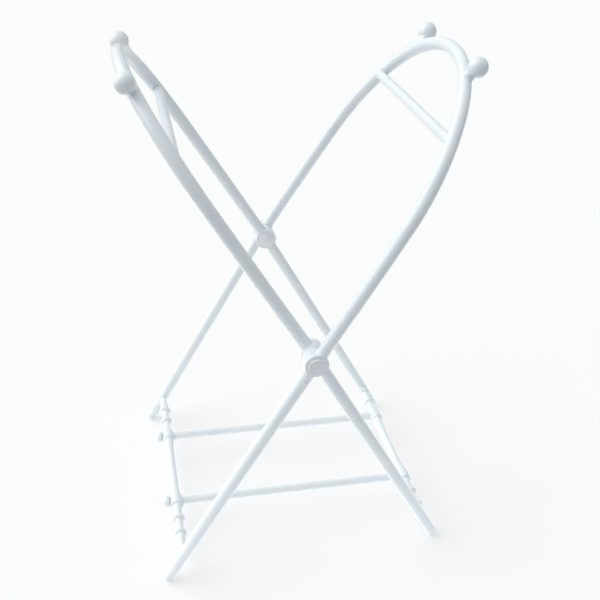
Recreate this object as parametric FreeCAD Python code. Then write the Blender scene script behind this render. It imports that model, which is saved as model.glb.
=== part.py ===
import FreeCAD, Part
import math
import os

from FreeCAD import Vector

# Folding stand of a baby cradle, in painted bentwood and turned wood.
# Millimetres, +Z up, origin on the floor midway between the four feet. Front is -Y.
# The inner frame carries its hoop towards -X and its feet at +X, the outer frame the reverse.

# Rods and stance
ROD_R = 11.0              # hoops and legs, 22 mm rod
LEG_LEAN = 30.35          # each leg from the vertical, degrees
HOOP_LEAN = 32.5          # each hoop from the vertical, degrees
LEG_LENGTH = 523.5        # pivot to the centre of the rounded foot, seen from the front
LEG_TOE_IN = 6.0          # how far each leg closes inwards by the foot
FOOT_FLAT = 1.5           # depth of the flat worn on each rounded foot
HOOP_TOP = 517.0          # pivot to the crown's centre-line, along the hoop

# Bent hoops: straight run, long gentle curve, shoulder, crown. Angles are degrees from upright.
FRAMES = {
    "inner": {
        "side": -1,
        "half_width": 235.0,
        "start_angle": 1.8,
        "side_radius": 3200.0,
        "side_angle": 5.3,
        "shoulder_radius": 260.0,
        "shoulder_angle": 38.0,
        "brace_height": 388.0,
        "knob_angle": 56.0,
    },
    "outer": {
        "side": 1,
        "half_width": 268.0,
        "start_angle": 2.0,
        "side_radius": 3200.0,
        "side_angle": 4.9,
        "shoulder_radius": 300.0,
        "shoulder_angle": 43.0,
        "brace_height": 404.0,
        "knob_angle": 62.0,
    },
}

# Brace rails across the hoops
BRACE_R = 9.0
BRACE_TENON_R = 6.0
BRACE_TENON_PAST = 2.0    # beyond the hoop's centre-line

# Ball knobs on the hoops
KNOB_R = 16.5
KNOB_REACH = 30.0         # hoop centre-line to the ball's centre
KNOB_NECK_R = 9.6
KNOB_FOOT_R = 10.5
DOWEL_R = 4.0
DOWEL_FROM = 4.0
DOWEL_TO = 26.0

# Pivot hubs, spacers, bolts and cap nuts
HUB_R = 21.0
HUB_HALF = 12.0
HUB_ROUND = 2.0
SPIGOT_R = 7.0
SPIGOT_REACH = 46.0       # pivot to the spigot's tip
BOLT_R = 6.0
RUNNING_GAP = 0.05
END_PLAY = 0.1
SPACER_R = 19.5
CAP_R = 14.5
CAP_THICK = 3.4
CAP_RIM = 2.6
CAP_DISH = 1.1
NUT_R = 15.0
NUT_THICK = 8.0
NUT_EDGE = 3.2            # depth of the rim below the dome
NUT_FLOOR = 2.5

# Small round-head screws
SCREW_R = 1.8
SCREW_HEAD_R = 3.6
SCREW_HEAD_TALL = 1.3
LEG_SCREW_AT = 36.0       # below the pivot, through the hub's spigot
HOOP_SCREW_AT = 168.0     # above the pivot, on the inward face

# Turned crossbars and the two stretchers between them
BAR_AT = 467.0            # pivot to crossbar, down each leg
BAR_WAIST_R = 9.2
BAR_FLARE_R = 10.4        # where the waist meets a boss
BAR_NECK_R = 8.0
BOSS_AT = 108.0           # each boss from the middle
BOSS_HALF = 16.0
BOSS_R = 14.0
BOSS_EDGE_R = 12.5
BEAD_R = 12.6
BEAD_HALF = 4.6
BEADS_AT = (162.0, 203.0)
BAR_END_R = 7.2
BAR_SHOULDER_GAP = 0.4
BAR_TENON_R = 6.2
BAR_TENON_PAST = 4.0
STRETCHER_R = 8.5
STRETCHER_GAP = 0.1
STRETCHER_PAST = 6.0      # beyond the right crossbar's axis
STOP_R = 12.0
STOP_LONG = 15.0
STOP_SOCKET = 9.0
PIN_R = 1.6

# Derived heights and places
PIVOT_Z = ROD_R - FOOT_FLAT + LEG_LENGTH * math.cos(math.radians(LEG_LEAN))
PIVOT = Vector(0, 0, PIVOT_Z)
BAR_X = BAR_AT * math.sin(math.radians(LEG_LEAN))
BAR_Z = PIVOT_Z - BAR_AT * math.cos(math.radians(LEG_LEAN))
ENDS = {"front": -1, "rear": 1}


def rod(start, end, radius):
    """Round bar between two points."""
    along = end - start
    return Part.makeCylinder(radius, along.Length, start, along)


def turned(profile, origin, axis):
    """Solid turned about an axis; the profile lies in the plane of radius and length."""
    solid = Part.Face(profile).revolve(Vector(0, 0, 0), Vector(0, 0, 1), 360)
    solid.Placement = FreeCAD.Placement(origin, FreeCAD.Rotation(Vector(0, 0, 1), axis))
    return solid


def line(a, b):
    return Part.makeLine(a, b)


def arc(a, middle, b):
    return Part.Arc(a, middle, b).toShape()


def at(radius, length):
    """Point of a turning profile."""
    return Vector(radius, 0, length)


def dome(rim, top):
    """Arc of a turning profile from a rim point up to the axis, which it meets squarely."""
    rise = top - rim.z
    radius = (rim.x ** 2 + rise ** 2) / (2 * rise)
    half = math.atan2(rim.x, radius - rise) / 2
    middle = at(radius * math.sin(half), top - radius + radius * math.cos(half))
    return arc(rim, middle, at(0, top))


def lean(shape, frame, angle):
    """Tip an upright shape about the pivot axis and lift it to the pivot."""
    tipped = shape.copy()
    tipped.rotate(Vector(0, 0, 0), Vector(0, 1, 0), frame["side"] * angle)
    tipped.translate(PIVOT)
    return tipped


def swept(edges, radius, start, heading):
    """Round bar swept along joined edges."""
    section = Part.Wire([Part.Circle(start, heading, radius).toShape()])
    return Part.Wire(edges).makePipe(Part.Face(section))


def on_bend(point, radius, turn_from, turn_to):
    """Where a bend that starts at a point reaches a given angle from upright."""
    across = radius * (math.cos(turn_from) - math.cos(turn_to))
    up = radius * (math.sin(turn_to) - math.sin(turn_from))
    return Vector(0, point.y - across, point.z + up)


class Hoop:
    """Centre-line of a bent hoop, upright, with the pivot at the origin."""

    def __init__(self, frame):
        self.width = frame["half_width"]
        self.start = math.radians(frame["start_angle"])
        self.side = math.radians(frame["side_angle"])
        self.shoulder = math.radians(frame["shoulder_angle"])
        self.side_radius = frame["side_radius"]
        self.shoulder_radius = frame["shoulder_radius"]
        self.solve_straight_run()

    def solve_straight_run(self):
        """Straight length that brings the crown up to HOOP_TOP."""
        bent = on_bend(Vector(0, self.width, 0), self.side_radius, self.start, self.side)
        bent = on_bend(bent, self.shoulder_radius, self.side, self.shoulder)
        crown = (1 - math.sin(self.shoulder)) / math.cos(self.shoulder)
        rise = math.cos(self.start) - math.sin(self.start) * crown
        run = (HOOP_TOP - bent.z - bent.y * crown) / rise
        self.foot = Vector(0, self.width, 0)
        self.run_end = self.foot + self.heading() * run
        self.side_end = on_bend(self.run_end, self.side_radius, self.start, self.side)
        self.crown_start = on_bend(
            self.side_end, self.shoulder_radius, self.side, self.shoulder)
        self.crown_radius = self.crown_start.y / math.cos(self.shoulder)

    def heading(self):
        """Direction of the straight run on the rear side."""
        return Vector(0, -math.sin(self.start), math.cos(self.start))

    def edges(self):
        side_mid = on_bend(
            self.run_end, self.side_radius, self.start, (self.start + self.side) / 2)
        shoulder_mid = on_bend(
            self.side_end, self.shoulder_radius, self.side, (self.side + self.shoulder) / 2)
        rear = [self.foot, self.run_end, side_mid, self.side_end, shoulder_mid, self.crown_start]
        front = [Vector(0, -p.y, p.z) for p in rear]
        top = Vector(0, 0, HOOP_TOP)
        return [
            line(front[0], front[1]),
            arc(*front[1:4]),
            arc(*front[3:6]),
            arc(front[5], top, rear[5]),
            arc(*reversed(rear[3:6])),
            arc(*reversed(rear[1:4])),
            line(rear[1], rear[0]),
        ]

    def reach_at(self, height):
        """Half-width of the shoulder at a height."""
        rise = (height - self.side_end.z) / self.shoulder_radius
        turn = math.asin(math.sin(self.side) + rise)
        return on_bend(self.side_end, self.shoulder_radius, self.side, turn).y

    def crown_normal(self, degrees, end):
        """Point on the crown and its outward direction, on the front or rear side."""
        angle = math.radians(degrees)
        normal = Vector(0, end * math.cos(angle), math.sin(angle))
        centre = Vector(0, 0, HOOP_TOP - self.crown_radius)
        return centre + normal * self.crown_radius, normal


def make_screw(centre, outward, seat, inner_end):
    """Round-head screw whose head beds on a round rod; also returns its hole."""
    head_top = ROD_R + SCREW_HEAD_TALL
    shank = rod(centre + outward * inner_end, centre + outward * (ROD_R + 0.3), SCREW_R)
    profile = Part.Wire([
        line(at(0, ROD_R - 1.2), at(SCREW_HEAD_R, ROD_R - 1.2)),
        line(at(SCREW_HEAD_R, ROD_R - 1.2), at(SCREW_HEAD_R, ROD_R + 0.2)),
        dome(at(SCREW_HEAD_R, ROD_R + 0.2), head_top),
        line(at(0, head_top), at(0, ROD_R - 1.2)),
    ])
    head = turned(profile, centre, outward).cut(seat)
    return head.fuse(shank).removeSplitter(), shank


def make_knob(point, normal, seat):
    """Ball knob with a short flared neck bedded on the hoop, and its dowel."""
    waist = KNOB_REACH - math.sqrt(KNOB_R ** 2 - KNOB_NECK_R ** 2)
    profile = Part.Wire([
        line(at(0, 3), at(KNOB_FOOT_R, 3)),
        arc(at(KNOB_FOOT_R, 3), at(KNOB_NECK_R + 0.25, 9.5), at(KNOB_NECK_R, waist)),
        dome(at(KNOB_NECK_R, waist), KNOB_REACH + KNOB_R),
        line(at(0, KNOB_REACH + KNOB_R), at(0, 3)),
    ])
    dowel = rod(point + normal * DOWEL_FROM, point + normal * DOWEL_TO, DOWEL_R)
    knob = turned(profile, point, normal).cut(seat).cut(dowel)
    return knob, dowel


def leg_line(frame, end):
    """Pivot and foot centre of a leg."""
    angle = math.radians(LEG_LEAN)
    top = Vector(0, end * frame["half_width"], PIVOT_Z)
    drop = Vector(-frame["side"] * math.sin(angle), 0, -math.cos(angle)) * LEG_LENGTH
    return top, top + drop - Vector(0, end * LEG_TOE_IN, 0)


def bar_centre(frame, end):
    """Where the crossbar's axis meets a leg's centre-line."""
    top, foot = leg_line(frame, end)
    return top + (foot - top) * (BAR_AT / LEG_LENGTH)


def hub_disc(frame, end, half, radius=HUB_R):
    """Disc on the pivot axis, centred on the frame's rods."""
    start = Vector(0, end * frame["half_width"] - half, PIVOT_Z)
    return Part.makeCylinder(radius, 2 * half, start, Vector(0, 1, 0))


def pivot_rod(end, near, far, radius):
    """Round bar on the pivot axis between two distances from the middle."""
    return rod(Vector(0, end * near, PIVOT_Z), Vector(0, end * far, PIVOT_Z), radius)


def make_leg(frame, end):
    """Leg with its screw: coped to the hub, bored for the spigot, drilled for the crossbar."""
    top, foot = leg_line(frame, end)
    down = (foot - top).normalize()
    blank = rod(top, foot, ROD_R).fuse(Part.makeSphere(ROD_R, foot)).removeSplitter()
    floor = Part.makeBox(2000, 2000, 200, Vector(-1000, -1000, -200))
    outward = Vector(0, end, 0)
    screw, hole = make_screw(top + down * LEG_SCREW_AT, outward, blank, 1.5)
    centre = bar_centre(frame, end)
    socket = rod(
        centre - outward * (ROD_R + 4),
        centre + outward * (BAR_TENON_PAST + 0.5),
        BAR_TENON_R + RUNNING_GAP)
    leg = blank.cut(floor).cut(hub_disc(frame, end, HUB_HALF + 4))
    leg = leg.cut(rod(top, top + down * SPIGOT_REACH, SPIGOT_R)).cut(socket).cut(hole)
    return leg, screw, hole


def make_hub(frame, end, hoop, bore_radius):
    """Pivot hub with a spigot up into the hoop and one down into the leg."""
    disc = hub_disc(frame, end, HUB_HALF)
    rims = [e for e in disc.Edges if e.Curve.TypeId == "Part::GeomCircle"]
    disc = disc.makeFillet(HUB_ROUND, rims)
    top, foot = leg_line(frame, end)
    down = (foot - top).normalize()
    base = Vector(0, end * hoop.width, 0)
    up = Vector(0, end * hoop.heading().y, hoop.heading().z)
    hoop_spigot = lean(rod(base, base + up * SPIGOT_REACH, SPIGOT_R), frame, HOOP_LEAN)
    leg_spigot = rod(top, top + down * SPIGOT_REACH, SPIGOT_R)
    hub = disc.fuse([hoop_spigot, leg_spigot]).removeSplitter()
    bore = hub_disc(frame, end, HUB_HALF + 1, bore_radius)
    return hub.cut(bore), hoop_spigot


def make_frame(name, frame, bore_radius):
    """One hoop, its brace, knobs, hubs, legs and fixings, as named shapes."""
    hoop = Hoop(frame)
    blank = swept(hoop.edges(), ROD_R, Vector(0, -hoop.width, 0), Vector(0, 0, 1))
    brace_reach = hoop.reach_at(frame["brace_height"])
    brace_line = Vector(0, 0, frame["brace_height"])
    half_rail = Vector(0, brace_reach, 0)
    half_tenon = Vector(0, brace_reach + BRACE_TENON_PAST, 0)
    tenon = rod(brace_line - half_tenon, brace_line + half_tenon, BRACE_TENON_R)
    rail = rod(brace_line - half_rail, brace_line + half_rail, BRACE_R).cut(blank)
    pieces = {name + "_brace": lean(rail.fuse(tenon).removeSplitter(), frame, HOOP_LEAN)}
    bent = blank.cut(tenon)

    dowels = []
    for place, end in ENDS.items():
        point, normal = hoop.crown_normal(frame["knob_angle"], end)
        knob, dowel = make_knob(point, normal, blank)
        pieces[name + "_knob_" + place] = lean(knob, frame, HOOP_LEAN)
        dowels.append(lean(dowel, frame, HOOP_LEAN))
        bent = bent.cut(dowel)
    pieces[name + "_knob_dowels"] = Part.makeCompound(dowels)

    if name == "inner":
        screws = []
        rise = HOOP_SCREW_AT - hoop.run_end.z
        turn = math.asin(math.sin(hoop.start) + rise / hoop.side_radius)
        spot = on_bend(hoop.run_end, hoop.side_radius, hoop.start, turn)
        for end in ENDS.values():
            centre = Vector(0, end * spot.y, spot.z)
            screw, hole = make_screw(centre, Vector(0, -end, 0), blank, 1.5)
            screws.append(lean(screw, frame, HOOP_LEAN))
            bent = bent.cut(hole)
        pieces[name + "_hoop_screws"] = Part.makeCompound(screws)

    bent = lean(bent, frame, HOOP_LEAN)
    leg_screws = []
    for place, end in ENDS.items():
        hub, hoop_spigot = make_hub(frame, end, hoop, bore_radius)
        leg, screw, hole = make_leg(frame, end)
        bent = bent.cut(hub_disc(frame, end, HUB_HALF + 4)).cut(hoop_spigot)
        pieces[name + "_hub_" + place] = hub.cut(hole)
        pieces[name + "_leg_" + place] = leg
        leg_screws.append(screw)
    pieces[name + "_leg_screws"] = Part.makeCompound(leg_screws)
    pieces[name + "_hoop"] = bent
    return pieces


def make_pivot(place, end):
    """Capped bolt, spacer and cap nut on one side."""
    outer_face = FRAMES["outer"]["half_width"] + HUB_HALF
    spacer_far = FRAMES["outer"]["half_width"] - HUB_HALF
    spacer_near = FRAMES["inner"]["half_width"] + HUB_HALF + END_PLAY
    nut_far = FRAMES["inner"]["half_width"] - HUB_HALF - END_PLAY
    nut_near = nut_far - NUT_THICK
    outward = Vector(0, end, 0)

    rim = at(CAP_R - CAP_RIM, CAP_THICK - CAP_DISH)
    profile = Part.Wire([
        line(at(0, 0), at(CAP_R, 0)),
        line(at(CAP_R, 0), at(CAP_R, CAP_THICK - 1.3)),
        arc(at(CAP_R, CAP_THICK - 1.3), at(CAP_R - 1.3, CAP_THICK), rim),
        dome(rim, CAP_THICK - 0.3),
        line(at(0, CAP_THICK - 0.3), at(0, 0)),
    ])
    cap = turned(profile, Vector(0, end * outer_face, PIVOT_Z), outward)
    shank = pivot_rod(end, nut_near + NUT_FLOOR, outer_face, BOLT_R)
    spacer = pivot_rod(end, spacer_near, spacer_far, SPACER_R)
    spacer = spacer.cut(pivot_rod(end, spacer_near - 1, spacer_far + 1, BOLT_R + RUNNING_GAP))

    nut_profile = Part.Wire([
        line(at(0, 0), at(NUT_R, 0)),
        line(at(NUT_R, 0), at(NUT_R, NUT_EDGE)),
        dome(at(NUT_R, NUT_EDGE), NUT_THICK),
        line(at(0, NUT_THICK), at(0, 0)),
    ])
    nut = turned(nut_profile, Vector(0, end * nut_far, PIVOT_Z), outward * -1).cut(shank)
    return {
        "pivot_bolt_" + place: cap.fuse(shank).removeSplitter(),
        "pivot_spacer_" + place: spacer,
        "pivot_nut_" + place: nut,
    }


def half_turning(shoulder, tip):
    """Edges of one half of a crossbar's outline, from the middle out to the tenon's tip."""
    boss_in = BOSS_AT - BOSS_HALF
    boss_out = BOSS_AT + BOSS_HALF
    edges = [
        line(at(BAR_WAIST_R, 0), at(BAR_WAIST_R, 40)),
        arc(at(BAR_WAIST_R, 40), at(BAR_WAIST_R + 0.3, 68), at(BAR_FLARE_R, boss_in)),
        line(at(BAR_FLARE_R, boss_in), at(BOSS_EDGE_R, boss_in)),
        arc(at(BOSS_EDGE_R, boss_in), at(BOSS_R, BOSS_AT), at(BOSS_EDGE_R, boss_out)),
        line(at(BOSS_EDGE_R, boss_out), at(BAR_NECK_R + 1.6, boss_out)),
    ]
    last = at(BAR_NECK_R + 1.6, boss_out)
    first_bead = BEADS_AT[0] - BEAD_HALF
    neck = at(BAR_NECK_R, first_bead)
    edges.append(arc(last, at(BAR_NECK_R + 0.5, (boss_out + first_bead) / 2), neck))
    last = neck
    for centre in BEADS_AT:
        start = at(BAR_NECK_R, centre - BEAD_HALF)
        stop = at(BAR_NECK_R, centre + BEAD_HALF)
        if centre == BEADS_AT[-1]:
            stop = at(BAR_NECK_R + 1.8, centre + BEAD_HALF - 0.6)
        if (start - last).Length > 0.001:
            edges.append(line(last, start))
        edges.append(arc(start, at(BEAD_R, centre), stop))
        last = stop
    edges += [
        line(last, at(BAR_END_R, shoulder)),
        line(at(BAR_END_R, shoulder), at(BAR_TENON_R, shoulder)),
        line(at(BAR_TENON_R, shoulder), at(BAR_TENON_R, tip)),
        line(at(BAR_TENON_R, tip), at(0, tip)),
    ]
    return edges, at(0, tip)


def make_crossbar(frame):
    """Turned crossbar between the legs of one frame."""
    centre = bar_centre(frame, 1)
    shoulder = centre.y - ROD_R - BAR_SHOULDER_GAP
    edges, end_point = half_turning(shoulder, centre.y + BAR_TENON_PAST)
    profile = Part.Wire([line(at(0, 0), at(BAR_WAIST_R, 0))] + edges + [line(end_point, at(0, 0))])
    origin = Vector(centre.x, 0, centre.z)
    rear = turned(profile, origin, Vector(0, 1, 0))
    front = rear.mirror(origin, Vector(0, 1, 0))
    return rear.fuse(front).removeSplitter()


def make_spreader(pieces):
    """Crossbars, stretchers, their stop knobs and the pins."""
    left = make_crossbar(FRAMES["outer"])
    right = make_crossbar(FRAMES["inner"])
    pins = []
    for place, end in ENDS.items():
        y = end * BOSS_AT
        stop_face = -BAR_X - BOSS_R
        tip = Vector(stop_face - STOP_SOCKET, y, BAR_Z)
        root = Vector(BAR_X + STRETCHER_PAST, y, BAR_Z)
        stretcher = rod(tip, root, STRETCHER_R)
        clear = Vector(5, 0, 0)
        left = left.cut(rod(tip - clear, Vector(0, y, BAR_Z), STRETCHER_R + STRETCHER_GAP))
        right = right.cut(stretcher)
        pin = rod(
            Vector(BAR_X, y, BAR_Z - BOSS_R + 0.6),
            Vector(BAR_X, y, BAR_Z + STRETCHER_R - 1.5),
            PIN_R)
        pins.append(pin)
        right = right.cut(pin)
        profile = Part.Wire([
            line(at(0, 0), at(STOP_R - 0.8, 0)),
            arc(at(STOP_R - 0.8, 0), at(STOP_R - 0.25, 0.25), at(STOP_R, 0.8)),
            line(at(STOP_R, 0.8), at(STOP_R, 5)),
            dome(at(STOP_R, 5), STOP_LONG),
            line(at(0, STOP_LONG), at(0, 0)),
        ])
        stop = turned(profile, Vector(stop_face, y, BAR_Z), Vector(-1, 0, 0))
        pieces[place + "_stretcher"] = stretcher.cut(pin)
        pieces[place + "_stretcher_knob"] = stop.cut(stretcher)
    pieces["left_crossbar"] = left
    pieces["right_crossbar"] = right
    pieces["stretcher_pins"] = Part.makeCompound(pins)


def main():
    pieces = {}
    pieces.update(make_frame("inner", FRAMES["inner"], BOLT_R + RUNNING_GAP))
    pieces.update(make_frame("outer", FRAMES["outer"], BOLT_R))
    for place, end in ENDS.items():
        pieces.update(make_pivot(place, end))
    make_spreader(pieces)

    os.makedirs("parts", exist_ok=True)
    for node, shape in pieces.items():
        shape.exportStep("parts/" + node + ".step")
        print(node, len(shape.Solids), shape.isValid(), round(shape.Volume))


main()
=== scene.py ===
import math

import bpy
from mathutils import Matrix, Vector


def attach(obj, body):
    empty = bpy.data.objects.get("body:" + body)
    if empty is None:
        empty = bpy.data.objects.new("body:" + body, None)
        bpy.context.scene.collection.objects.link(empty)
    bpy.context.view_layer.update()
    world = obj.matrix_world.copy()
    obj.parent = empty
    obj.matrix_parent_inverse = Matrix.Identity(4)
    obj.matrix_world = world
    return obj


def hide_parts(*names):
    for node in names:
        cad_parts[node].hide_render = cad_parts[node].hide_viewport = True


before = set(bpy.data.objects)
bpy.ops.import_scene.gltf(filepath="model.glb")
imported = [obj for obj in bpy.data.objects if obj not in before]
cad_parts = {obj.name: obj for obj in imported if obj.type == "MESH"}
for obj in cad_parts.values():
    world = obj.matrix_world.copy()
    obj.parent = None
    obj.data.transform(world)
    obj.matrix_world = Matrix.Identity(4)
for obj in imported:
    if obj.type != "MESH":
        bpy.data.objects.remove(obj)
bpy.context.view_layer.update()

# Visual model of a white folding cradle stand. Shapes are worked out in millimetres and become
# metres when a mesh is made. Front is -Y; the inner frame's hoop leans towards -X.

MM = 0.001
ENDS = {"front": -1, "rear": 1}

# Meshes
TUBE_SIDES = 48
LATHE_SIDES = 72
FLOOR_SIDES = 64
ROD_STEP = 6.0             # between the rings of a rod
FILLET_STEPS = (0.5, 1.2, 2.2, 3.5)   # closer rings, out from where paint is built up
SHARP_EDGE = math.radians(38)

# Frames: lengths along a leg or hoop are from the pivot
ROD_R = 11.0
LEG_LEAN = math.radians(30.35)
HOOP_LEAN = math.radians(32.5)
LEG_LENGTH = 523.5
LEG_TOE_IN = 6.0
LEG_RINGS = 84
FOOT_FLAT = 1.5
PIVOT_Z = ROD_R - FOOT_FLAT + LEG_LENGTH * math.cos(LEG_LEAN)
HOOP_TOP = 517.0
HUB_R = 21.0
HUB_BITE = 0.3             # how far a stick's coped end enters its hub
ROD_START = 17.0           # where a stick ends before it is coped
PAINT_FILLET = 0.8         # paint built up where a stick meets another piece
PAINT_FADE = 1.5           # length over which that build-up fades
BRACE_R = 9.0
BRACE_SHORT = 3.0          # from a brace's end to the hoop's centre-line
BRACE_JOINT = 9.0          # from a brace's end to where it leaves the hoop
# Each hoop: the side it leans to, half width at the hubs, turns from upright at the ends of its
# bends, radii of its side and shoulder, height of its brace, angle of its knobs round the crown
FRAMES = {
    "inner": {"side": -1, "width": 235.0, "start": 1.8, "side_end": 5.3, "shoulder": 38.0,
              "side_r": 3200.0, "shoulder_r": 260.0, "brace": 388.0, "knob": 56.0},
    "outer": {"side": 1, "width": 268.0, "start": 2.0, "side_end": 4.9, "shoulder": 43.0,
              "side_r": 3200.0, "shoulder_r": 300.0, "brace": 404.0, "knob": 62.0},
}

# Ball knobs: lengths are from the hoop's centre-line
KNOB_R = 16.5
KNOB_REACH = 30.0
KNOB_NECK_R = 9.6
KNOB_FOOT_R = 10.5
KNOB_FROM = 3.0

# Crossbars: lengths are from the middle
BAR_AT = 467.0             # down the legs
BAR_X = BAR_AT * math.sin(LEG_LEAN)
BAR_Z = PIVOT_Z - BAR_AT * math.cos(LEG_LEAN)
WAIST_R = 9.2
WAIST_HALF = 40.0
FLARE_R = 10.4             # where the waist meets a boss
BOSS_AT = 108.0
BOSS_HALF = 16.0
BOSS_R = 14.0
BOSS_EDGE_R = 12.5
STEP_R = 9.6               # below a boss's outer face
NECK_R = 8.0
BEADS_AT = (162.0, 203.0)
BEAD_HALF = 4.6
BEAD_R = 12.6
TAPER_R = 9.8              # where the end's taper comes out of the last bead
BAR_END_R = 7.2
TENON_R = 6.2
TENON_PAST = 4.0           # beyond the leg's centre-line
SHOULDER_GAP = 0.4
TURNED_FILLET = 0.4        # at the foot of a step
TURNED_EASE = (0.7, 0.6)   # off an edge, in radius and along the bar
TURNED_HOLLOW = 0.3        # dip of a long hollow
SPINDLE_SWELL = 0.2        # between two beads

# Stretchers and their stop knobs
STRETCHER_R = 8.5
STRETCHER_GAP = 0.1        # round a stretcher where it slides
STRETCHER_FIT = 0.02       # round a stretcher where it is fixed
STRETCHER_PAST = 6.0       # beyond the right bar's centre-line
STRETCHER_JOINT = 0.5      # depth in the right boss at which its paint is built up
HOLE_PAST = 4.0            # beyond a boss, where a hole is open
END_EASE = 1.0             # off the ends of braces and stretchers
STOP_R = 12.0
STOP_LONG = 15.0
STOP_RIM = 5.0             # length of the straight rim
STOP_EASE = 0.8

# Where each piece lies in the grain's pattern, so that no two look alike
GRAIN_AT = {"hoop": 0.0, "brace": 2000.0, "leg": 3000.0, "knob": 3600.0, "left_bar": 7000.0,
            "right_bar": 8000.0, "stretcher": 9000.0, "stop": 9900.0}

# Camera: mm from the pivot, and a lens for a sensor 36 mm wide
CAMERA_YAW = math.radians(-12.40)
CAMERA_PITCH = math.radians(32.92)
CAMERA_ROLL = math.radians(1.77)
CAMERA_SPOT = (-289.45, -1472.16, 784.08)
SENSOR_WIDE = 36.0
LENS = 53.1744
LENS_SHIFT = (-0.00145, 0.118983)

# Floor and light: metres, watts and radiances. The floor's glow keeps its shadows pale.
FLOOR_RADIUS = 14.0
FLOOR_TONE = (0.56, 0.555, 0.55, 1)
FLOOR_GLOW = (0.388, 0.388, 0.384, 1)
SURROUND_COLOR = (0.975, 1.0, 1.02, 1)
SURROUND = 0.68
SURROUND_BELOW = 0.16
BACKDROP_COLOR = (0.958, 0.962, 0.965, 1)
HORIZON_BLUR = 0.05
KEY_AZIMUTH = math.radians(160)
KEY_HEIGHT = math.radians(35)
KEY_ANGLE = math.radians(80)
KEY_ENERGY = 2.0
KEY_COLOR = (0.975, 1.0, 1.02)
TABLE_LIGHT = 7.5
TABLE_WIDE = 2.0
TABLE_GAP = 0.0004         # above the floor


# ---------------------------------------------------------------- materials

class Nodes:
    """Short way to build a material's node tree."""

    def __init__(self, name):
        self.material = bpy.data.materials.new(name)
        self.material.use_nodes = True
        self.tree = self.material.node_tree
        self.shader = self.tree.nodes["Principled BSDF"]

    def add(self, kind, links=(), **settings):
        node = self.tree.nodes.new("ShaderNode" + kind)
        for key, value in settings.items():
            setattr(node, key, value)
        for socket, source in dict(links).items():
            self.feed(node.inputs[socket], source)
        return node

    def feed(self, socket, source):
        if isinstance(source, bpy.types.NodeSocket):
            self.tree.links.new(source, socket)
        else:
            socket.default_value = source

    def scaled(self, vector, scale):
        return self.add("Mapping", {"Vector": vector, "Scale": scale}).outputs["Vector"]

    def noise(self, vector, scale, detail=3.0, roughness=0.5):
        links = {"Vector": vector, "Scale": scale, "Detail": detail, "Roughness": roughness}
        return self.add("TexNoise", links).outputs["Fac"]

    def ramp(self, value, low, high, to_low=0.0, to_high=1.0):
        links = {"Value": value, "From Min": low, "From Max": high, "To Min": to_low,
                 "To Max": to_high}
        return self.add("MapRange", links, interpolation_type="SMOOTHSTEP").outputs["Result"]

    def maths(self, operation, a, b=0.0):
        return self.add("Math", {0: a, 1: b}, operation=operation).outputs[0]

    def mix(self, factor, a, b):
        node = self.add("Mix", data_type="RGBA")
        self.feed(node.inputs["Factor"], factor)
        self.feed(node.inputs[6], a)
        self.feed(node.inputs[7], b)
        return node.outputs[2]

    def bump(self, height, strength, distance, normal=None):
        links = {"Height": height, "Strength": strength, "Distance": distance}
        if normal is not None:
            links["Normal"] = normal
        return self.add("Bump", links).outputs["Normal"]


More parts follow.
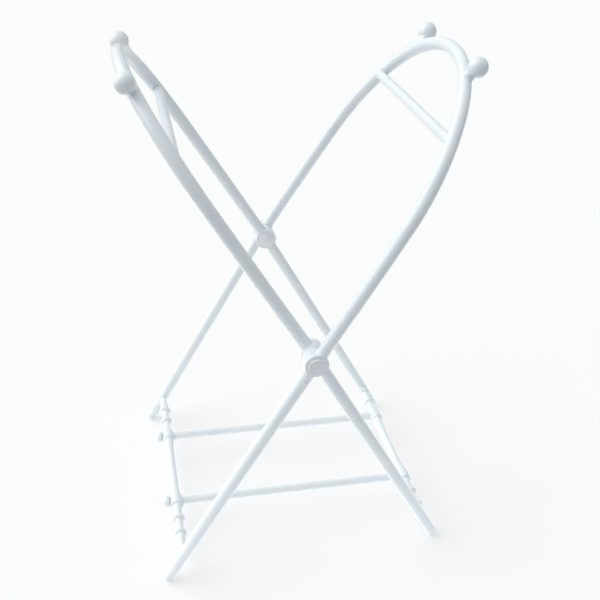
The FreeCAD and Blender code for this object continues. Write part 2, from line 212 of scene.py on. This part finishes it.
def enamel(name, grain_from, along, across, lathe_lines):
    """White gloss enamel over wood: grain and brush marks telegraph through, edges are rubbed.

    The grain runs along the last axis of the pieces' own coordinates, or of the object's axes
    in the order given, such as "xzy" for a piece that lies along Y. Pattern scales are per metre.
    """
    white_low, white_high = (0.79, 0.845, 0.88, 1), (0.815, 0.86, 0.885, 1)
    # The darker crevice colour is painted shade for creases and hollows, not a colour the paint has
    grain_shade, painted_crevice_shade = (0.71, 0.76, 0.79, 1), (0.66, 0.70, 0.73, 1)
    thin_paint, floor_scuff = (0.76, 0.75, 0.72, 1), (0.52, 0.49, 0.45, 1)
    n = Nodes(name)
    if grain_from == "grain":
        place = n.add("Attribute", attribute_name="grain").outputs["Vector"]
    else:
        parts = n.add("SeparateXYZ", {0: n.add("TexCoord").outputs["Object"]}).outputs
        axes = [parts[axis.upper()] for axis in grain_from]
        place = n.add("CombineXYZ", dict(enumerate(axes))).outputs["Vector"]
    grain = n.noise(n.scaled(place, (across, across, along)), 1.0, 2.0, 0.45)
    brush = n.noise(n.scaled(place, (across * 2.3, across * 2.3, along * 1.5)), 1.0, 1.0)
    peel = n.noise(place, 520.0, 2.0)
    pool = n.noise(place, 38.0, 3.0)
    turning = n.noise(n.scaled(place, (30.0, 30.0, 1500.0)), 1.0, 2.0)

    white = n.mix(n.ramp(pool, 0.35, 0.68), white_low, white_high)
    white = n.mix(n.ramp(grain, 0.54, 0.72, 0.0, 0.10), white, grain_shade)
    pointiness = n.add("NewGeometry").outputs["Pointiness"]
    edge = n.ramp(pointiness, 0.60, 0.70)
    rubbed = n.maths("MULTIPLY", edge, n.ramp(n.noise(place, 210.0, 4.0), 0.52, 0.64, 0.0, 0.35))
    # Painted shade: concave places (low pointiness) are darkened towards the crevice colour, as if
    # shaded
    painted_crevice_mask = n.ramp(pointiness, 0.40, 0.48, 0.35, 0.0)
    white = n.mix(painted_crevice_mask, white, painted_crevice_shade)
    white = n.mix(rubbed, white, thin_paint)

    height = n.add("SeparateXYZ", {0: n.add("TexCoord").outputs["Object"]}).outputs["Z"]
    height = n.maths("ADD", height, n.maths("MULTIPLY", pool, 0.02))
    scuff = n.ramp(height, 0.012, 0.026, 0.8, 0.0)
    scuff = n.maths("MULTIPLY", scuff, n.ramp(n.noise(place, 330.0, 5.0), 0.42, 0.60))
    white = n.mix(scuff, white, floor_scuff)

    gloss = n.ramp(pool, 0.3, 0.7, 0.27, 0.35)
    gloss = n.maths("ADD", gloss, n.maths("MULTIPLY", grain, 0.10))
    gloss = n.maths("ADD", gloss, n.maths("MULTIPLY", scuff, 0.35))
    normal = n.bump(grain, 0.10, 0.0002)
    normal = n.bump(brush, 0.10, 0.00008, normal)
    normal = n.bump(peel, 0.06, 0.00012, normal)
    if lathe_lines:
        normal = n.bump(turning, 0.22, 0.00010, normal)
    n.feed(n.shader.inputs["Base Color"], white)
    n.feed(n.shader.inputs["Roughness"], gloss)
    n.feed(n.shader.inputs["Normal"], normal)
    n.feed(n.shader.inputs["IOR"], 1.50)
    n.feed(n.shader.inputs["Coat Weight"], 0.45)
    n.feed(n.shader.inputs["Coat Roughness"], 0.10)
    return n.material


def painted_steel(name):
    """Steel fitting in smooth white paint, with a few small chips on its edges."""
    n = Nodes(name)
    place = n.add("TexCoord").outputs["Object"]
    cloud = n.noise(place, 110.0, 3.0)
    fine = n.noise(place, 1400.0, 2.0)
    white = n.mix(n.ramp(cloud, 0.3, 0.7), (0.80, 0.805, 0.84, 1), (0.83, 0.83, 0.855, 1))
    edge = n.ramp(n.add("NewGeometry").outputs["Pointiness"], 0.54, 0.62)
    chip = n.maths("MULTIPLY", edge, n.ramp(n.noise(place, 800.0, 4.0), 0.58, 0.63))
    n.feed(n.shader.inputs["Base Color"], n.mix(chip, white, (0.42, 0.42, 0.43, 1)))
    n.feed(n.shader.inputs["Metallic"], n.maths("MULTIPLY", chip, 0.8))
    n.feed(n.shader.inputs["Roughness"], n.ramp(cloud, 0.3, 0.7, 0.29, 0.38))
    n.feed(n.shader.inputs["Coat Weight"], 0.4)
    n.feed(n.shader.inputs["Coat Roughness"], 0.12)
    n.feed(n.shader.inputs["Normal"], n.bump(fine, 0.08, 0.0001))
    return n.material


def bare_wood(name):
    """Unfinished beech with short flecks."""
    n = Nodes(name)
    place = n.add("TexCoord").outputs["Object"]
    fleck = n.noise(n.scaled(place, (900.0, 140.0, 900.0)), 1.0, 4.0)
    tone = n.noise(place, 60.0, 3.0)
    color = n.mix(n.ramp(tone, 0.3, 0.7), (0.70, 0.52, 0.34, 1), (0.60, 0.42, 0.26, 1))
    color = n.mix(n.ramp(fleck, 0.55, 0.7), color, (0.40, 0.26, 0.15, 1))
    n.feed(n.shader.inputs["Base Color"], color)
    n.feed(n.shader.inputs["Roughness"], n.ramp(fleck, 0.3, 0.7, 0.55, 0.75))
    n.feed(n.shader.inputs["Normal"], n.bump(fleck, 0.4, 0.0002))
    return n.material


def nylon(name):
    """Slightly translucent white nylon, moulded."""
    n = Nodes(name)
    place = n.add("TexCoord").outputs["Object"]
    fine = n.noise(place, 900.0, 3.0)
    cloud = n.noise(place, 90.0, 2.0)
    color = n.mix(n.ramp(cloud, 0.3, 0.7), (0.78, 0.82, 0.84, 1), (0.81, 0.85, 0.86, 1))
    n.feed(n.shader.inputs["Base Color"], color)
    n.feed(n.shader.inputs["Roughness"], n.ramp(fine, 0.3, 0.7, 0.38, 0.52))
    n.feed(n.shader.inputs["Subsurface Weight"], 0.05)
    n.feed(n.shader.inputs["Subsurface Radius"], (0.004, 0.004, 0.004))
    n.feed(n.shader.inputs["Normal"], n.bump(fine, 0.15, 0.0001))
    return n.material


def zinc(name):
    """Zinc-plated steel with a fine spangle."""
    n = Nodes(name)
    place = n.add("TexCoord").outputs["Object"]
    spangle = n.noise(place, 700.0, 4.0)
    color = n.mix(spangle, (0.50, 0.51, 0.53, 1), (0.72, 0.72, 0.70, 1))
    n.feed(n.shader.inputs["Base Color"], color)
    n.feed(n.shader.inputs["Metallic"], 1.0)
    n.feed(n.shader.inputs["Roughness"], n.ramp(spangle, 0.3, 0.7, 0.29, 0.45))
    n.feed(n.shader.inputs["Normal"], n.bump(spangle, 0.2, 0.0001))
    return n.material


# ---------------------------------------------------------------- mesh making

class Shape:
    """Vertices and faces, with each vertex's place in the stick before it was bent."""

    def __init__(self):
        self.points = []
        self.grain = []
        self.faces = []

    def ring(self, points, grain):
        first = len(self.points)
        self.points += points
        self.grain += grain
        return list(range(first, first + len(points)))

    def bridge(self, low, high):
        """Faces between two rings of the same size, or a fan where one is a single point."""
        count = max(len(low), len(high))
        for i in range(count):
            j = (i + 1) % count
            if len(low) == 1:
                self.faces.append((low[0], high[j], high[i]))
            elif len(high) == 1:
                self.faces.append((low[i], low[j], high[0]))
            else:
                self.faces.append((low[i], low[j], high[j], high[i]))


def stick(stations, sides, phase):
    """Round stick through stations of (centre, side, over, radius, run along the stick)."""
    shape = Shape()
    last = None
    for centre, side, over, radius, run in stations:
        count = 1 if radius < 1e-6 else sides
        points, grain = [], []
        for i in range(count):
            angle = 2 * math.pi * i / sides
            x, y = radius * math.cos(angle), radius * math.sin(angle)
            points.append(centre + side * x + over * y)
            grain.append(Vector((x, y, run + phase)))
        ring = shape.ring(points, grain)
        if last is not None:
            shape.bridge(last, ring)
        last = ring
    return shape


def lathed(profile, origin, axis, phase, sides=LATHE_SIDES):
    """Turned piece from (radius, length) pairs along an axis."""
    axis = axis.normalized()
    side = axis.orthogonal().normalized()
    over = axis.cross(side)
    return stick([(origin + axis * z, side, over, r, z) for r, z in profile], sides, phase)


def curve(a, b, bend, steps=8):
    """Points after a up to b, bowed sideways in radius by bend."""
    points = []
    for i in range(1, steps + 1):
        t = i / steps
        r = a[0] + (b[0] - a[0]) * t + bend * 4 * t * (1 - t)
        points.append((r, a[1] + (b[1] - a[1]) * t))
    return points


def round_over(centre_r, centre_z, radius, start, stop, steps=8):
    """Quarter or part circle of a profile; angles in degrees from straight out."""
    points = []
    for i in range(steps + 1):
        angle = math.radians(start + (stop - start) * i / steps)
        points.append((max(centre_r + radius * math.cos(angle), 0.0),
                       centre_z + radius * math.sin(angle)))
    return points


def make_piece(name, shape, body, slot, material, *replaced):
    """Turns a shape into an object that rides on a body and stands for CAD nodes."""
    mesh = bpy.data.meshes.new(name)
    mesh.from_pydata([p * MM for p in shape.points], [], shape.faces)
    mesh.update()
    attribute = mesh.attributes.new("grain", "FLOAT_VECTOR", "POINT")
    attribute.data.foreach_set("vector", [c * MM for g in shape.grain for c in g])
    mesh.polygons.foreach_set("use_smooth", [True] * len(mesh.polygons))
    mesh.set_sharp_from_angle(angle=SHARP_EDGE)
    mesh.materials.append(material)
    piece = bpy.data.objects.new(name, mesh)
    bpy.context.scene.collection.objects.link(piece)
    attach(piece, body)
    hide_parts(*replaced)
    return piece


# ---------------------------------------------------------------- the stand

def bend_point(y, z, radius, turn_from, turn_to):
    """Where a bend from (y, z) reaches a given angle from upright."""
    return (y - radius * (math.cos(turn_from) - math.cos(turn_to)),
            z + radius * (math.sin(turn_to) - math.sin(turn_from)))


class Hoop:
    """Centre-line of a bent hoop, upright, pivot at the origin."""

    def __init__(self, facts):
        self.facts = facts
        self.turns = [math.radians(facts[k]) for k in ("start", "side_end", "shoulder")]
        start, side, shoulder = self.turns
        radii = (facts["side_r"], facts["shoulder_r"])
        y, z = bend_point(facts["width"], 0.0, radii[0], start, side)
        y, z = bend_point(y, z, radii[1], side, shoulder)
        crown = (1 - math.sin(shoulder)) / math.cos(shoulder)
        self.run = (HOOP_TOP - z - y * crown) / (math.cos(start) - math.sin(start) * crown)
        bottom = (facts["width"] - self.run * math.sin(start), self.run * math.cos(start))
        second = bend_point(*bottom, radii[0], start, side)
        third = bend_point(*second, radii[1], side, shoulder)
        self.crown_r = third[0] / math.cos(shoulder)
        self.bends = [(bottom, radii[0], start, side), (second, radii[1], side, shoulder),
                      (third, self.crown_r, shoulder, math.pi / 2)]

    def half_line(self, step):
        """Stations (y, z, turn, run) from the hub up to the crown's top on the +Y side."""
        start = self.turns[0]
        count = round((self.run - ROD_START) / step)
        line = []
        for i in range(count):
            run = ROD_START + (self.run - ROD_START) * i / count
            line.append((self.facts["width"] - run * math.sin(start),
                         run * math.cos(start), start, run))
        run = self.run
        for (y, z), radius, low, high in self.bends:
            count = max(round(radius * (high - low) / step), 6)
            for i in range(count):
                turn = low + (high - low) * i / count
                along = run + radius * (turn - low)
                line.append((*bend_point(y, z, radius, low, turn), turn, along))
            run += radius * (high - low)
        line.append((0.0, HOOP_TOP, math.pi / 2, run))
        return line

    def reach_at(self, height):
        """Half width of the hoop at a height within its shoulder bend."""
        (y, z), radius, low, _ = self.bends[1]
        turn = math.asin(math.sin(low) + (height - z) / radius)
        return bend_point(y, z, radius, low, turn)[0]

    def crown_normal(self, end):
        """Point on the crown at the knob's angle, and its outward direction."""
        angle = math.radians(self.facts["knob"])
        normal = Vector((0, end * math.cos(angle), math.sin(angle)))
        return Vector((0, 0, HOOP_TOP - self.crown_r)) + normal * self.crown_r, normal


def lean(vector, side):
    """Turns a direction of the upright hoop to the hoop's lean."""
    angle = side * HOOP_LEAN
    return Vector((vector.x * math.cos(angle) + vector.z * math.sin(angle), vector.y,
                   vector.z * math.cos(angle) - vector.x * math.sin(angle)))


def lean_point(point, side):
    """Carries a point of the upright hoop to its place in the stand."""
    return lean(point, side) + Vector((0, 0, PIVOT_Z))


def hand_sanded(run, phase):
    """Radius factor of a rod that was rounded and sanded by hand."""
    return 1 + 0.0035 * math.sin(run / 31.0 + phase) + 0.0025 * math.sin(run / 12.7 + phase * 2.3)


def fillet(distance):
    """Extra radius of a stick at a distance from the joint it runs into."""
    return PAINT_FILLET * math.exp(-max(distance, 0.0) / PAINT_FADE)


def cope(shape, indices, heading):
    """Carries the end of a rod, with its cap, up to the round side of its hub."""
    for i in indices:
        x, z = shape.points[i].x, shape.points[i].z - PIVOT_Z
        a = heading.x ** 2 + heading.z ** 2
        b = x * heading.x + z * heading.z
        c = x ** 2 + z ** 2 - (HUB_R - HUB_BITE) ** 2
        shift = (math.sqrt(b * b - a * c) - b) / a
        shape.points[i] = shape.points[i] + heading * shift
        shape.grain[i] = shape.grain[i] + Vector((0, 0, shift))


def hoop_rod(facts, phase):
    """The bent rod from the front hub over the crown to the rear hub."""
    half = Hoop(facts).half_line(ROD_STEP)
    front = [(-y, z, turn, run, -1) for y, z, turn, run in half]
    total = 2 * half[-1][3]
    rear = [(y, z, turn, total - run, 1) for y, z, turn, run in reversed(half[:-1])]
    stations = []
    side = facts["side"]
    across = Vector((1, 0, 0))
    for y, z, turn, run, end in front + rear:
        heading = Vector((0, math.sin(turn), -end * math.cos(turn)))
        radius = ROD_R * hand_sanded(run, phase) + fillet(min(run, total - run) - HUB_R)
        stations.append((lean_point(Vector((0, y, z)), side), lean(across, side),
                         lean(heading.cross(across), side), radius, run))
    first, last = stations[0], stations[-1]
    shape = stick([(*first[:3], 0.0, first[4])] + stations + [(*last[:3], 0.0, last[4])],
                  TUBE_SIDES, phase)
    count = len(shape.points)
    turn = half[0][2]
    for indices, end in ((range(TUBE_SIDES + 1), -1), (range(count - TUBE_SIDES - 1, count), 1)):
        cope(shape, indices, lean(Vector((0, -end * math.sin(turn), math.cos(turn))), side))
    return shape


def leg_line(facts, end):
    """Top and foot of a leg's centre-line."""
    top = Vector((0, end * facts["width"], PIVOT_Z))
    down = Vector((-facts["side"] * math.sin(LEG_LEAN), 0, -math.cos(LEG_LEAN)))
    foot = top + down * LEG_LENGTH
    foot.y -= end * LEG_TOE_IN
    return top, foot


def leg_rod(facts, end, phase):
    """Straight leg with a rounded foot, worn flat underneath."""
    top, foot = leg_line(facts, end)
    length = (foot - top).length
    profile = [(0.0, ROD_START), (ROD_R, ROD_START)]
    plain = HUB_R + 7.0
    runs = [HUB_R + step for step in FILLET_STEPS + (5.5,)]
    runs += [plain + (length - plain) * i / LEG_RINGS for i in range(LEG_RINGS)]
    for run in runs:
        profile.append((ROD_R * hand_sanded(run, phase) + fillet(run - HUB_R), run))
    profile += round_over(0, length, ROD_R, 0, 90, 16)
    shape = lathed(profile, top, foot - top, phase, TUBE_SIDES)
    cope(shape, range(TUBE_SIDES + 1), (foot - top).normalized())
    shape.points = [Vector((p.x, p.y, max(p.z, 0.0))) for p in shape.points]
    return shape


def straight_rod(start, end, radius, phase, joints=()):
    """Plain rod with eased ends; joints are the runs where it enters another piece."""
    length = (end - start).length
    plain = length - 2 * END_EASE
    rings = round(length / ROD_STEP)
    profile = [(0.0, 0.0)] + round_over(radius - END_EASE, END_EASE, END_EASE, -90, 0, 4)
    runs = {END_EASE + plain * i / rings for i in range(1, rings)}
    for joint in joints:
        inward = 1 if joint < length / 2 else -1
        runs |= {joint + inward * step for step in (-FILLET_STEPS[0], *FILLET_STEPS)}
    for run in sorted(runs):
        swell = sum(fillet(abs(run - joint)) for joint in joints)
        profile.append((radius * hand_sanded(run, phase) + swell, run))
    profile += round_over(radius - END_EASE, length - END_EASE, END_EASE, 0, 90, 4)
    profile.append((0.0, length))
    return lathed(profile, start, end - start, phase, TUBE_SIDES)


def brace_rod(facts, phase):
    """Round rail let into the hoop's shoulders."""
    reach = Hoop(facts).reach_at(facts["brace"]) - BRACE_SHORT
    front, rear = (lean_point(Vector((0, end * reach, facts["brace"])), facts["side"])
                   for end in (-1, 1))
    joints = (BRACE_JOINT, (rear - front).length - BRACE_JOINT)
    return straight_rod(front, rear, BRACE_R, phase, joints)


def stretcher_rod(end, phase):
    """Stretcher from its stop knob, through the left bar, into the right bar."""
    start = Vector((-BAR_X - BOSS_R, end * BOSS_AT, BAR_Z))
    stop = Vector((BAR_X + STRETCHER_PAST, end * BOSS_AT, BAR_Z))
    joint = (stop - start).length - STRETCHER_PAST - BOSS_R + STRETCHER_JOINT
    return straight_rod(start, stop, STRETCHER_R, phase, (joint,))


def knob(facts, end, phase):
    """Ball knob on a waisted neck bedded in the hoop, with a soft corner under the ball."""
    point, normal = Hoop(facts).crown_normal(end)
    waist = KNOB_REACH - math.sqrt(KNOB_R ** 2 - KNOB_NECK_R ** 2)
    lowest = math.degrees(math.atan2(waist - KNOB_REACH, KNOB_NECK_R))
    profile = [(0.0, KNOB_FROM), (KNOB_FOOT_R, KNOB_FROM)]
    profile += curve(profile[-1], (KNOB_NECK_R + 0.15, waist - 0.5), -0.2, 12)
    profile += round_over(0, KNOB_REACH, KNOB_R, lowest + 1.5, 90, 40)
    side = facts["side"]
    return lathed(profile, lean_point(point, side), lean(normal, side), phase)


def crossbar(facts, phase):
    """Turned crossbar: waist, two bosses, four ring beads and tapered ends."""
    top, foot = leg_line(facts, 1)
    centre = top + (foot - top) * (BAR_AT / LEG_LENGTH)
    shoulder = centre.y - ROD_R - SHOULDER_GAP
    tenon_end = centre.y + TENON_PAST
    boss_in, boss_out = BOSS_AT - BOSS_HALF, BOSS_AT + BOSS_HALF
    inner_bead, outer_bead = BEADS_AT
    ease_r, ease_along = TURNED_EASE
    half = [(WAIST_R, WAIST_HALF * i / 10) for i in range(11)]
    half += curve(half[-1], (FLARE_R, boss_in - TURNED_FILLET), -TURNED_HOLLOW, 14)
    half += [(FLARE_R + TURNED_FILLET, boss_in), (BOSS_EDGE_R - ease_r, boss_in),
             (BOSS_EDGE_R, boss_in + ease_along)]
    half += curve(half[-1], (BOSS_EDGE_R, boss_out - ease_along), BOSS_R - BOSS_EDGE_R, 22)
    half += [(BOSS_EDGE_R - ease_r, boss_out), (STEP_R + TURNED_FILLET, boss_out),
             (STEP_R, boss_out + TURNED_FILLET)]
    half += curve(half[-1], (NECK_R, inner_bead - BEAD_HALF), -TURNED_HOLLOW, 10)
    half += bead_profile(inner_bead)
    half += curve(half[-1], (NECK_R, outer_bead - BEAD_HALF), SPINDLE_SWELL, 8)
    half += bead_profile(outer_bead)
    taper_from = (TAPER_R, outer_bead + BEAD_HALF - ease_along)
    half += curve(taper_from, (BAR_END_R, shoulder - ease_r), 0.0, 8)
    half += [(BAR_END_R - ease_r, shoulder), (TENON_R, shoulder), (TENON_R, tenon_end),
             (0.0, tenon_end)]
    profile = [(r, -z) for r, z in reversed(half[1:])] + half
    return lathed(profile, Vector((centre.x, 0, centre.z)), Vector((0, 1, 0)), phase)


def bead_profile(middle, steps=16):
    """Ring bead, round in section, from one edge to the other."""
    rise = BEAD_R - NECK_R
    radius = (BEAD_HALF ** 2 + rise ** 2) / (2 * rise)
    half = math.degrees(math.asin(min(BEAD_HALF / radius, 1.0)))
    half = 180 - half if rise > radius else half
    return round_over(BEAD_R - radius, middle, radius, -half, half, steps)


def stop_knob(end, phase):
    """Rounded end of a stretcher, outside the left crossbar."""
    rise = STOP_LONG - STOP_RIM
    radius = (STOP_R ** 2 + rise ** 2) / (2 * rise)
    centre_z = STOP_LONG - radius
    lowest = math.degrees(math.asin((STOP_RIM - centre_z) / radius))
    profile = [(0.0, 0.0)] + round_over(STOP_R - STOP_EASE, STOP_EASE, STOP_EASE, -90, 0, 5)
    profile += [(STOP_R, STOP_RIM - 2.0)] + round_over(0, centre_z, radius, lowest, 90, 20)
    origin = Vector((-BAR_X - BOSS_R, end * BOSS_AT, BAR_Z))
    return lathed(profile, origin, Vector((-1, 0, 0)), phase)


def drill(piece, holes):
    """Cuts round holes, given as (start, end, radius), out of a piece."""
    drills = []
    for start, end, radius in holes:
        along = end - start
        shape = lathed([(0.0, 0.0), (radius, 0.0), (radius, along.length), (0.0, along.length)],
                       start, along, 0.0)
        mesh = bpy.data.meshes.new("drill")
        mesh.from_pydata([p * MM for p in shape.points], [], shape.faces)
        tool = bpy.data.objects.new("drill", mesh)
        bpy.context.scene.collection.objects.link(tool)
        modifier = piece.modifiers.new("drill", "BOOLEAN")
        modifier.operation = "DIFFERENCE"
        modifier.solver = "EXACT"
        modifier.object = tool
        drills.append(tool)
    graph = bpy.context.evaluated_depsgraph_get()
    drilled = bpy.data.meshes.new_from_object(piece.evaluated_get(graph), depsgraph=graph)
    piece.modifiers.clear()
    piece.data = drilled
    drilled.set_sharp_from_angle(angle=SHARP_EDGE)
    for tool in drills:
        bpy.data.objects.remove(tool)


def stretcher_holes(bar_x, past, radius):
    """Holes through or into a crossbar at x, for both stretchers."""
    holes = []
    for end in ENDS.values():
        start = Vector((bar_x - BOSS_R - HOLE_PAST, end * BOSS_AT, BAR_Z))
        holes.append((start, Vector((bar_x + past, end * BOSS_AT, BAR_Z)), radius))
    return holes


def make_stand(paint):
    """Every enamelled wooden piece but the hubs, which stay as the CAD has them."""
    slot = "white_enamel"
    for i, (name, facts) in enumerate(FRAMES.items()):
        body = name + "_frame"
        make_piece(name + "_bent_hoop", hoop_rod(facts, GRAIN_AT["hoop"] + 10 * i), body, slot,
                   paint["rod"], name + "_hoop")
        make_piece(name + "_brace_rail", brace_rod(facts, GRAIN_AT["brace"] + 10 * i), body, slot,
                   paint["rod"], name + "_brace")
        for j, (place, end) in enumerate(ENDS.items()):
            along = 700 * (2 * i + j)
            make_piece(name + "_leg_stick_" + place, leg_rod(facts, end, GRAIN_AT["leg"] + along),
                       body, slot, paint["rod"], name + "_leg_" + place)
            make_piece(name + "_ball_knob_" + place, knob(facts, end, GRAIN_AT["knob"] + along),
                       body, slot, paint["turned"], name + "_knob_" + place)
    left = make_piece("left_turned_bar", crossbar(FRAMES["outer"], GRAIN_AT["left_bar"]),
                      "sliding_bar", slot, paint["bar"], "left_crossbar")
    right = make_piece("right_turned_bar", crossbar(FRAMES["inner"], GRAIN_AT["right_bar"]),
                       "spreader", slot, paint["bar"], "right_crossbar")
    drill(left, stretcher_holes(-BAR_X, BOSS_R + HOLE_PAST, STRETCHER_R + STRETCHER_GAP))
    drill(right, stretcher_holes(BAR_X, STRETCHER_PAST, STRETCHER_R + STRETCHER_FIT))
    for place, end in ENDS.items():
        make_piece(place + "_stretcher_rail", stretcher_rod(end, GRAIN_AT["stretcher"] + 500 * end),
                   "spreader", slot, paint["rail"], place + "_stretcher")
        make_piece(place + "_stop_knob", stop_knob(end, GRAIN_AT["stop"] + 50 * end),
                   "spreader", slot, paint["turned"], place + "_stretcher_knob")


def paint_cad_nodes(finishes):
    """Gives each CAD node that stays its material, by the first key found in its name."""
    for name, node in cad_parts.items():
        for key, material in finishes.items():
            if key in name:
                node.data.materials.clear()
                node.data.materials.append(material)
                break


# ---------------------------------------------------------------- camera, floor, light

def make_camera():
    """Camera above and a little to the left of the stand's front."""
    level = Vector((math.cos(CAMERA_YAW), math.sin(CAMERA_YAW), 0))
    ahead = Vector((-math.sin(CAMERA_YAW), math.cos(CAMERA_YAW), 0))
    forward = ahead * math.cos(CAMERA_PITCH) - Vector((0, 0, math.sin(CAMERA_PITCH)))
    upright = level.cross(forward)
    right = level * math.cos(CAMERA_ROLL) + upright * math.sin(CAMERA_ROLL)
    up = upright * math.cos(CAMERA_ROLL) - level * math.sin(CAMERA_ROLL)
    data = bpy.data.cameras.new("camera")
    data.sensor_fit = "HORIZONTAL"
    data.sensor_width = SENSOR_WIDE
    data.lens = LENS
    data.shift_x, data.shift_y = LENS_SHIFT
    camera = bpy.data.objects.new("camera", data)
    bpy.context.scene.collection.objects.link(camera)
    spot = Vector(CAMERA_SPOT) + Vector((0, 0, PIVOT_Z))
    turn = Matrix((right, up, -forward)).transposed().to_4x4()
    camera.matrix_world = Matrix.Translation(spot * MM) @ turn
    bpy.context.scene.camera = camera


def make_floor():
    """Plain pale studio floor."""
    angles = [2 * math.pi * i / FLOOR_SIDES for i in range(FLOOR_SIDES)]
    ring = [(FLOOR_RADIUS * math.cos(a), FLOOR_RADIUS * math.sin(a), 0.0) for a in angles]
    mesh = bpy.data.meshes.new("studio_floor")
    mesh.from_pydata(ring, [], [list(range(FLOOR_SIDES))])
    floor = bpy.data.objects.new("studio_floor", mesh)
    bpy.context.scene.collection.objects.link(floor)
    n = Nodes("studio_floor")
    place = n.add("TexCoord").outputs["Object"]
    tone = n.mix(n.noise(place, 2.0), FLOOR_TONE, tuple(c * 1.01 for c in FLOOR_TONE[:3]) + (1,))
    n.feed(n.shader.inputs["Base Color"], tone)
    n.feed(n.shader.inputs["Roughness"], 0.9)
    n.feed(n.shader.inputs["Specular IOR Level"], 0.0)
    n.feed(n.shader.inputs["Emission Color"], FLOOR_GLOW)
    n.feed(n.shader.inputs["Emission Strength"], 1.0)
    mesh.materials.append(n.material)
    floor.visible_diffuse = False


def make_light():
    """Broad soft key from the left, a pale surround, and light from the table top below."""
    scene = bpy.context.scene
    scene.view_settings.view_transform = "Standard"
    world = bpy.data.worlds.new("studio")
    world.use_nodes = True
    tree = world.node_tree
    surround = tree.nodes["Background"]
    surround.inputs["Color"].default_value = SURROUND_COLOR
    upward = tree.nodes.new("ShaderNodeSeparateXYZ")
    dome = tree.nodes.new("ShaderNodeMapRange")
    dome.inputs["From Min"].default_value = -HORIZON_BLUR
    dome.inputs["From Max"].default_value = HORIZON_BLUR
    dome.inputs["To Min"].default_value = SURROUND_BELOW
    dome.inputs["To Max"].default_value = SURROUND
    direction = tree.nodes.new("ShaderNodeTexCoord").outputs["Generated"]
    tree.links.new(direction, upward.inputs[0])
    tree.links.new(upward.outputs["Z"], dome.inputs["Value"])
    tree.links.new(dome.outputs["Result"], surround.inputs["Strength"])
    backdrop = tree.nodes.new("ShaderNodeBackground")
    backdrop.inputs["Color"].default_value = BACKDROP_COLOR
    mix = tree.nodes.new("ShaderNodeMixShader")
    path = tree.nodes.new("ShaderNodeLightPath")
    tree.links.new(path.outputs["Is Camera Ray"], mix.inputs[0])
    tree.links.new(surround.outputs[0], mix.inputs[1])
    tree.links.new(backdrop.outputs[0], mix.inputs[2])
    tree.links.new(mix.outputs[0], tree.nodes["World Output"].inputs["Surface"])
    scene.world = world
    aside = Vector((math.cos(KEY_AZIMUTH), math.sin(KEY_AZIMUTH), 0))
    towards = aside * math.cos(KEY_HEIGHT) + Vector((0, 0, math.sin(KEY_HEIGHT)))
    data = bpy.data.lights.new("key", "SUN")
    data.energy = KEY_ENERGY
    data.color = KEY_COLOR
    data.angle = KEY_ANGLE
    key = bpy.data.objects.new("key", data)
    key.rotation_mode = "QUATERNION"
    key.rotation_quaternion = towards.to_track_quat("Z", "Y")
    scene.collection.objects.link(key)
    data = bpy.data.lights.new("table", "AREA")
    data.shape = "DISK"
    data.size = TABLE_WIDE
    data.energy = TABLE_LIGHT
    data.color = KEY_COLOR
    table = bpy.data.objects.new("table", data)
    table.location = (0, 0, TABLE_GAP)
    table.rotation_euler = (math.pi, 0, 0)
    table.visible_camera = False
    scene.collection.objects.link(table)


make_camera()
make_floor()
make_light()
enamels = {
    "rod": enamel("enamel_rod", "grain", 7.0, 280.0, False),
    "turned": enamel("enamel_turned", "grain", 18.0, 320.0, True),
    "bar": enamel("enamel_bar", "xzy", 10.0, 300.0, True),
    "rail": enamel("enamel_rail", "yzx", 7.0, 280.0, False),
    "hub": enamel("enamel_hub", "xzy", 90.0, 400.0, False),
}
make_stand(enamels)
paint_cad_nodes({
    "hub": enamels["hub"],
    "bolt": painted_steel("steel_cap"),
    "nut": painted_steel("steel_nut"),
    "screws": painted_steel("steel_screw"),
    "spacer": nylon("nylon_spacer"),
    "dowels": bare_wood("beech_dowel"),
    "pins": zinc("zinc_pin"),
})
